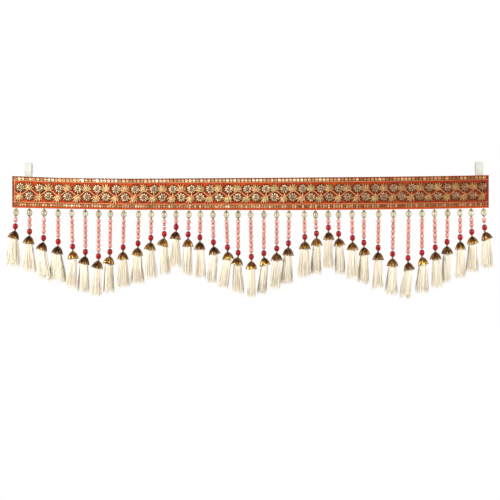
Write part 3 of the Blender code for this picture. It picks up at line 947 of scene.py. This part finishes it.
def bead_strings(trees, shapes, finishes):
    rows = {name: [] for name in ("clear", "cup", "pink", "neck", "red", "seed", "cap")}
    chance = random.Random(21)
    threads = []

    def add(kind, number, drop_distance, tip=0.0, size=1.0):
        place, turn = hung(number, Vector((0, 0, -drop_distance)))
        spin = Matrix.Rotation(chance.uniform(0, 2 * math.pi), 3, "Z")
        wobble = Matrix.Rotation(chance.uniform(-tip, tip), 3, "X")
        rows[kind].append(Spot(place, turn @ wobble @ spin, (size, size, size), chance.random()))

    for number in range(1, len(DROPS) + 1):
        pinks = pinks_of(number)
        loose = DROPS[number - 1].slack_mm * MM / pinks
        shift = string_shift(number)
        add("seed", number, SEED_DROP, 0.2)
        add("clear", number, CLEAR_DROP, 0.05)
        add("cup", number, CLEAR_DROP)
        add("seed", number, COLLAR_DROP, 0.1)
        for i in range(pinks):
            centre = PINK_DROP + PINK_PITCH * i + loose * (i + 0.5)
            add("pink", number, centre, 0.09)
            add("neck", number, centre + PINK_PITCH * 0.54, 0.1)
        add("red", number, RED_DROP + shift, 0.1)
        add("seed", number, CAP_SEED_DROP + shift, 0.1, 1.25)
        crown = crown_of(number)
        place, turn = hung(number, Vector((0, 0, -crown - 1e-5)))
        spin = Matrix.Rotation(chance.uniform(-0.5, 0.5), 3, "Z")
        rows["cap"].append(Spot(place, turn @ spin, (1, 1, 1), chance.random()))
        ends = spaced(-1.0 * MM, crown + 2.5 * MM, 12 * MM)
        threads.append([hung(number, Vector((0, 0, -d)))[0] for d in ends])
    shapes_of = {
        "clear": bead_mesh("clear", CLEAR_RADIUS, CLEAR_HALF, 0.36 * MM, 14, 24),
        "pink": bead_mesh("pink", PINK_RADIUS, PINK_HALF, 0.7 * MM, 8, 14, 0.66),
        "neck": bead_mesh("neck", 3.0 * MM, 0.9 * MM, 0.6 * MM, 4, 10, 0.8),
        "red": bead_mesh("red", RED_RADIUS, RED_HALF, 0.7 * MM, 12, 20, 0.92),
        "cup": bead_cups(),
        "seed": bead_mesh("seed", 1.8 * MM, 1.5 * MM, 0.6 * MM, 5, 10, 0.8),
        "cap": cap_mesh(),
    }
    fringes = ["bead_fringe_left", "bead_fringe_middle", "bead_fringe_right"]
    for kind, slot in (("clear", "clear_beads"), ("pink", "pink_beads"), ("neck", "pink_beads"),
                       ("red", "red_beads"), ("seed", "petal_caps"), ("cup", "petal_caps"),
                       ("cap", "petal_caps")):
        names = {"cap": "petal_caps", "seed": "gold_seeds", "neck": "pink_seeds", "cup": "bead_cups"}
        name = names.get(kind, kind + "_beads")
        grown = grow(name, trees["scatter"], seedbed_of(name, rows[kind]), Shape=shapes.keep(shapes_of[kind]),
                     Finish=finishes[kind])
        ride(grown, fringes if kind == "cap" else ())
    mesh = lines_mesh("bead_threads", threads)
    write(mesh, "thick", [0.32 * MM] * len(mesh.vertices))
    write(mesh, "free", [0.0] * len(mesh.vertices))
    ride(grow("bead_threads", trees["strands"], mesh, Finish=finishes["tie thread"], Sides=5, Looseness=0.0))


def bead_cups():
    """The two small gold cups that hold a clear bead, above and below."""
    upper = ((0.7, 8.6), (1.5, 8.5), (3.0, 7.0), (4.5, 5.5), (4.9, 4.6), (4.6, 4.6), (4.0, 5.4), (2.6, 6.5), (0.7, 7.1))
    lower = ((0.7, -6.8), (1.9, -6.5), (3.4, -5.7), (3.7, -6.0), (2.3, -7.3), (0.7, -7.6))
    joined = bmesh.new()
    for outline in (upper, lower):
        part = turned("cup", [(r * MM, z * MM) for r, z in reversed(outline)], 14)
        joined.from_mesh(part)
        bpy.data.meshes.remove(part)
    bmesh.ops.recalc_face_normals(joined, faces=joined.faces)
    mesh = bpy.data.meshes.new("cups")
    joined.to_mesh(mesh)
    joined.free()
    mesh.shade_smooth()
    return mesh


def cap_mesh():
    """A petal bead cap: six broad folded petals, each with a ridge to its pointed tip, thin walled."""
    petals, around, down = 6, 72, 8
    outline = ((1.5, 0.0), (3.4, 0.6), (5.6, 2.2), (7.4, 4.4), (9.0, 7.1), (10.3, 10.2), (11.3, 13.3), (12.0, 16.4))
    radii = [r * MM for r, _ in outline]
    drops = [d * MM for _, d in outline]
    marks = np.linspace(0, 1, len(outline))
    points, faces, groove, rim = [], [], [], []
    for i in range(around):
        angle = 2 * math.pi * i / around
        fold = abs((angle * petals / (2 * math.pi)) % 1 - 0.5) * 2
        reach = 0.77 + 0.23 * (1 - (1 - fold) ** 2)
        for j in range(down + 1):
            t = j / down * reach
            radius = float(np.interp(t, marks, radii)) * (1 + 0.17 * (fold - 0.62) * min(1, t * 2.0))
            points.append((radius * math.cos(angle), radius * math.sin(angle), -float(np.interp(t, marks, drops))))
            # groove: 1 in the folds between the petals and about the crown, where the finish paints shade.
            groove.append(1 - fold if t > 0.2 else 1.0)
            rim.append(max(0.0, (j / down - 0.7) / 0.3))
    for i in range(around):
        for j in range(down):
            a = i * (down + 1) + j
            b = (i + 1) % around * (down + 1) + j
            faces.append((a, a + 1, b + 1, b))
    mesh = mesh_of("petal_cap", points, faces)
    write(mesh, "groove", groove)
    write(mesh, "rim", rim)
    item = plain_object("petal_cap", mesh)
    wall = item.modifiers.new("Wall", "SOLIDIFY")
    wall.thickness = 0.8 * MM
    wall.offset = -1.0
    depsgraph = bpy.context.evaluated_depsgraph_get()
    made = bpy.data.meshes.new_from_object(item.evaluated_get(depsgraph))
    bpy.data.objects.remove(item, do_unlink=True)
    made.name = "cap"
    return made


# Tassels

def tassels(trees, finishes):
    """Strands of yarn from each head to its ragged hem, in the fringe's three lengths."""
    chance = random.Random(5)
    steps = (0.0, 0.12, 0.3, 0.5, 0.75, 1.0)
    thirds = ((1, 13), (14, 25), (26, 37))
    for index, (first, last) in enumerate(thirds):
        lines, thick, free, tint = [], [], [], []
        for number in range(first, last + 1):
            drop = DROPS[number - 1]
            crown = crown_of(number)
            half = drop.hem_mm * MM / 2
            shade = chance.uniform(0, 0.25)
            locks = [(chance.uniform(0, 2 * math.pi), chance.gauss(0, 0.9), chance.uniform(-1.5, 1.5),
                      chance.random()) for _ in range(9)]
            for _ in range(STRANDS):
                angle = chance.uniform(0, 2 * math.pi)
                lock = min(locks, key=lambda item: abs(math.remainder(item[0] - angle, 2 * math.pi)))
                angle += 0.3 * math.remainder(lock[0] - angle, 2 * math.pi)
                radius = math.sqrt(chance.random()) if chance.random() < 0.4 else chance.uniform(0.8, 1.0)
                across = Vector((math.cos(angle), math.sin(angle), 0)) * radius
                length = HEM_DROP - HEAD_DROP + (lock[2] + chance.uniform(-7.0, 4.5)) * MM
                stray = Vector((lock[1] + chance.gauss(0, 1.0), chance.gauss(0, 1.0), 0)) * MM
                parted = math.copysign(SPLIT_SPREAD, across.x) if number == SPLIT_TASSEL else 0.0
                line = []
                for t in steps:
                    opened = 0.22 * min(t * 4, 1) + 0.78 * t ** 1.2
                    width = HEAD_RADIUS + (half - HEAD_RADIUS) * opened
                    depth = HEAD_RADIUS + (half * HEM_DEPTH - HEAD_RADIUS) * opened
                    point = Vector((across.x * width + parted * t, across.y * depth, 0)) + stray * t
                    point.z = -(crown + HEAD_DROP - 3 * MM + (length + 3 * MM) * t)
                    line.append(hung(number, point)[0])
                lines.append(line)
                bulk = chance.uniform(0.42, 0.62) * MM
                thick += [bulk * (1 - 0.65 * t ** 3) for t in steps]
                free += [t for t in steps]
                tint += [min(1, shade + 0.45 * lock[3] + chance.uniform(0, 0.4))] * len(line)
        name = "tassels_" + ("left", "middle", "right")[index]
        mesh = lines_mesh(name, lines)
        write(mesh, "thick", thick)
        write(mesh, "free", free)
        write(mesh, "tint", tint)
        grown = grow(name, trees["strands"], mesh, Finish=finishes["yarn"], Sides=3, Looseness=5.0 * MM)
        ride(grown, [f"tassel_{n:02d}" for n in range(first, last + 1)])


def tassel_cores(finish):
    """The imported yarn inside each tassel, from its head in the cap nearly to its hem."""
    outline = ((0.0, 2.9), (1.2, 3.0), (5.2, 7.2), (6.2, HEAD_DROP / MM), (6.6, 20.0), (1.0, HEM_DROP / MM - 5), (0.0, HEM_DROP / MM - 4))
    sides = 14
    bm = bmesh.new()
    tint = []
    for number in range(1, len(DROPS) + 1):
        drop = DROPS[number - 1]
        crown = crown_of(number)
        rings = []
        for radius, distance in outline:
            t = max(0.0, (distance * MM - HEAD_DROP) / (HEM_DROP - HEAD_DROP))
            spread = 1 + (drop.hem_mm * MM / 2 / (7.3 * MM) - 1) * t
            r = radius * MM
            if distance > 30:
                r = 6.4 * MM * 0.86
            elif distance <= HEAD_DROP / MM:
                spread = 1.0
            if radius == 0.0:
                rings.append([bm.verts.new(hung(number, Vector((0, 0, -crown - distance * MM)))[0])])
                continue
            ring = []
            for i in range(sides):
                angle = 2 * math.pi * i / sides
                x = math.cos(angle) * r * spread
                if number == SPLIT_TASSEL:
                    x += math.copysign(SPLIT_SPREAD, x) * t * 0.6
                point = Vector((x, math.sin(angle) * r * spread * (1 - 0.18 * t), -crown - distance * MM))
                ring.append(bm.verts.new(hung(number, point)[0]))
            rings.append(ring)
        for upper, lower in zip(rings, rings[1:]):
            for i in range(sides):
                j = (i + 1) % sides
                if len(upper) == 1:
                    bm.faces.new((upper[0], lower[i], lower[j]))
                elif len(lower) == 1:
                    bm.faces.new((upper[i], lower[0], upper[j]))
                else:
                    bm.faces.new((upper[i], lower[i], lower[j], upper[j]))
    bmesh.ops.recalc_face_normals(bm, faces=bm.faces)
    mesh = bpy.data.meshes.new("tassel_cores")
    bm.to_mesh(mesh)
    bm.free()
    write(mesh, "tint", [0.8] * len(mesh.vertices))
    mesh.shade_smooth()
    mesh.materials.append(finish)
    ride(plain_object("tassel_cores", mesh))


# Loops

def hanging_loops(trees, stitch, finishes):
    """Woven tape folded into an eye, both tails sewn down behind the band."""
    for side, along in LOOP_PLACES.items():
        ends = (along - TAPE_WIDTH / 2, along + TAPE_WIDTH / 2)
        base = max(band_edges(x)[0] for x in ends) + LOOP_LIFT
        first = max(wave(x) for x in ends) + CLEARANCE + TAPE / 2
        second = first + TAPE + CLEARANCE
        path = [(first, base - TAIL_LENGTH + TAIL_LENGTH * i / 4) for i in range(4)]
        turns = 40
        for i in range(turns + 1):
            turn = 2 * math.pi * i / turns
            depth = first + (second - first) * i / turns - EYE_HALF_DEPTH * math.sin(turn) * math.sin(turn / 2)
            path.append((depth, base + EYE_HEIGHT * (1 - math.cos(turn)) / 2))
        path += [(second, base - TAIL_LENGTH * i / 4) for i in range(1, 5)]
        columns = 8
        points, faces, across, length = [], [], [], []
        reached = 0.0
        for i, (depth, height) in enumerate(path):
            if i:
                reached += math.dist(path[i], path[i - 1])
            for j in range(columns + 1):
                u = j / columns
                points.append((along + (u - 0.5) * TAPE_WIDTH, depth, height))
                across.append(u)
                length.append(reached / (60 * MM))
        for i in range(len(path) - 1):
            for j in range(columns):
                a = i * (columns + 1) + j
                faces.append((a, a + 1, a + columns + 2, a + columns + 1))
        name = "loop_tape_" + side
        mesh = mesh_of(name, points, faces)
        write(mesh, "across", across)
        write(mesh, "length", length)
        item = plain_object(name + "_flat", mesh)
        wall = item.modifiers.new("Thickness", "SOLIDIFY")
        wall.thickness = TAPE * 0.9
        wall.offset = 0.0
        wall.use_even_offset = True
        depsgraph = bpy.context.evaluated_depsgraph_get()
        made = bpy.data.meshes.new_from_object(item.evaluated_get(depsgraph))
        bpy.data.objects.remove(item, do_unlink=True)
        made.shade_smooth()
        made.materials.append(finishes["tape"])
        piece = ride(plain_object(name, made), ["hanging_loop_" + side])
        back = second + TAPE / 2
        box = [(along + dx * 5.5 * MM, back, base - dz * MM) for dx, dz in ((-1, 2), (1, 2), (1, 13), (-1, 13), (-1, 2))]
        cross = [[Vector(p) for p in box], [Vector(box[0]), Vector(box[2])], [Vector(box[1]), Vector(box[3])]]
        ride(grow("loop_stitches_" + side, trees["stitches"], lines_mesh("loop_stitches_" + side, cross),
                  Shape=stitch, Finish=finishes["back thread"], Spacing=2.6 * MM,
                  Size=(2.1 * MM, 0.5 * MM, 0.4 * MM), Outward=BACK, Slant=0.0))


# Camera, light and floor

def set_camera():
    data = bpy.data.cameras.new("camera")
    data.sensor_width = SENSOR_MM
    data.lens = SENSOR_MM * VIEW_DISTANCE / (PHOTO_WIDTH * PIXEL)
    camera = plain_object("camera", data)
    across = (PHOTO_WIDTH / 2 - ORIGIN_PIXEL[0]) * PIXEL
    up = (ORIGIN_PIXEL[1] - PHOTO_WIDTH / 2) * PIXEL
    camera.location = (across, -VIEW_DISTANCE, up)
    camera.rotation_euler = (math.pi / 2, 0, 0)
    bpy.context.scene.camera = camera


def set_light():
    """Two soft lights, one before each end, and a white surround that is brightest behind the hanging."""
    for name, place, power in (("left_light", (-1.45, -1.0, 0.35), 34.0), ("right_light", (1.45, -1.0, 0.35), 23.0)):
        data = bpy.data.lights.new(name, "AREA")
        data.size = 0.35
        data.energy = power
        light = plain_object(name, data)
        light.location = place
        light.rotation_euler = (Vector(place) - Vector((0, 0, -0.1))).to_track_quat("Z", "Y").to_euler()
    world = bpy.data.worlds.new("surround")
    world.use_nodes = True
    nodes = Nodes(world.node_tree)
    nodes.tree.nodes.clear()
    seen = nodes.add("ShaderNodeLightPath", output="Is Camera Ray")
    direction = nodes.add("ShaderNodeTexCoord", output="Generated")
    behind = nodes.add("ShaderNodeSeparateXYZ", {}, {"Vector": direction}, output="Y")
    glow = nodes.add("ShaderNodeMapRange", {"interpolation_type": "SMOOTHSTEP"}, {
        "Value": behind, "From Min": 0.1, "From Max": 0.8, "To Min": 0.46, "To Max": 1.0})
    strength = seen * 1.0 + (1.0 - seen) * glow
    background = nodes.add("ShaderNodeBackground", {}, {"Color": (1, 1, 1, 1), "Strength": strength})
    out = nodes.tree.nodes.new("ShaderNodeOutputWorld")
    nodes.tree.links.new(background.socket, out.inputs["Surface"])
    bpy.context.scene.world = world
    bpy.context.scene.view_settings.view_transform = "Standard"


def set_floor():
    mesh = bpy.data.meshes.new("floor")
    bm = bmesh.new()
    bmesh.ops.create_grid(bm, x_segments=1, y_segments=1, size=1.5)
    bmesh.ops.translate(bm, verts=bm.verts, vec=(0, 0, -1.0))
    bm.to_mesh(mesh)
    bm.free()
    pale = Finish("pale floor", base_color=(0.9, 0.9, 0.9, 1), roughness=0.8)
    mesh.materials.append(pale.material)
    plain_object("floor", mesh)


def main():
    set_camera()
    set_light()
    set_floor()
    trees = {"scatter": scatter_tree(), "stitches": stitch_tree(), "strands": strand_tree()}
    gold = thread_finish("gold thread", srgb(104, 74, 38), srgb(236, 208, 166), sage=0.3, right_shade=srgb(170, 110, 62))
    finishes = {
        "cloth": cloth_finish(),
        "gold": gold,
        "leaf": thread_finish("leaf thread", srgb(106, 80, 38), srgb(218, 168, 116), sage=0.6, right_shade=srgb(144, 94, 46)),
        "pad": thread_finish("pad thread", srgb(100, 66, 34), srgb(142, 100, 60), right_shade=srgb(60, 20, 8)),
        "vine": thread_finish("peach thread", srgb(206, 140, 94), srgb(238, 190, 146), 0.4, 0.2,
                              right_shade=srgb(168, 104, 64)),
        "gold line": thread_finish("pale gold thread", srgb(200, 134, 84), srgb(240, 186, 136), 0.45, 0.15,
                                   right_shade=srgb(150, 84, 44)),
        "dark gold": thread_finish("dark gold thread", srgb(58, 26, 10), srgb(120, 74, 38)),
        "flower centre": bead_finish("flower centre", srgb(190, 136, 122), srgb(146, 100, 90), roughness=0.25),
        "back thread": thread_finish("back thread", srgb(214, 150, 110), srgb(240, 206, 170), 0.6, 0.0),
        "tie thread": thread_finish("tie thread", srgb(240, 218, 186), srgb(250, 236, 212), 0.6, 0.0),
        "sequin": sequin_finish(),
        "clear": bead_finish("clear bead", srgb(250, 238, 204), srgb(128, 110, 52), roughness=0.03,
                             transmission_weight=0.85, ior=1.6),
        "pink": bead_finish("pink bead", srgb(244, 182, 162), srgb(202, 112, 96), roughness=0.1,
                            transmission_weight=0.4, ior=1.45),
        "neck": bead_finish("pink seed", srgb(216, 138, 120), srgb(190, 110, 94), roughness=0.2,
                            transmission_weight=0.3),
        "red": bead_finish("red bead", srgb(160, 4, 8), srgb(98, 2, 6), roughness=0.2, specular_ior_level=0.25),
        "seed": thread_finish("gold seed", srgb(120, 74, 28), srgb(196, 150, 80), 0.25, 0.8),
        "cup": thread_finish("olive gold", srgb(104, 90, 42), srgb(190, 168, 104), 0.3, 0.7),
        "cap": cap_finish(),
        "yarn": yarn_finish(),
        "tape": tape_finish(),
    }
    shapes = Shapes()
    band_cloth(finishes["cloth"])
    embroider(trees, shapes, finishes)
    bead_strings(trees, shapes, finishes)
    tassels(trees, finishes)
    tassel_cores(finishes["yarn"])
    hanging_loops(trees, shapes.keep(stitch_mesh("sewing_stitch", FINE_STITCH, 4)), finishes)
    shapes.clear()


main()
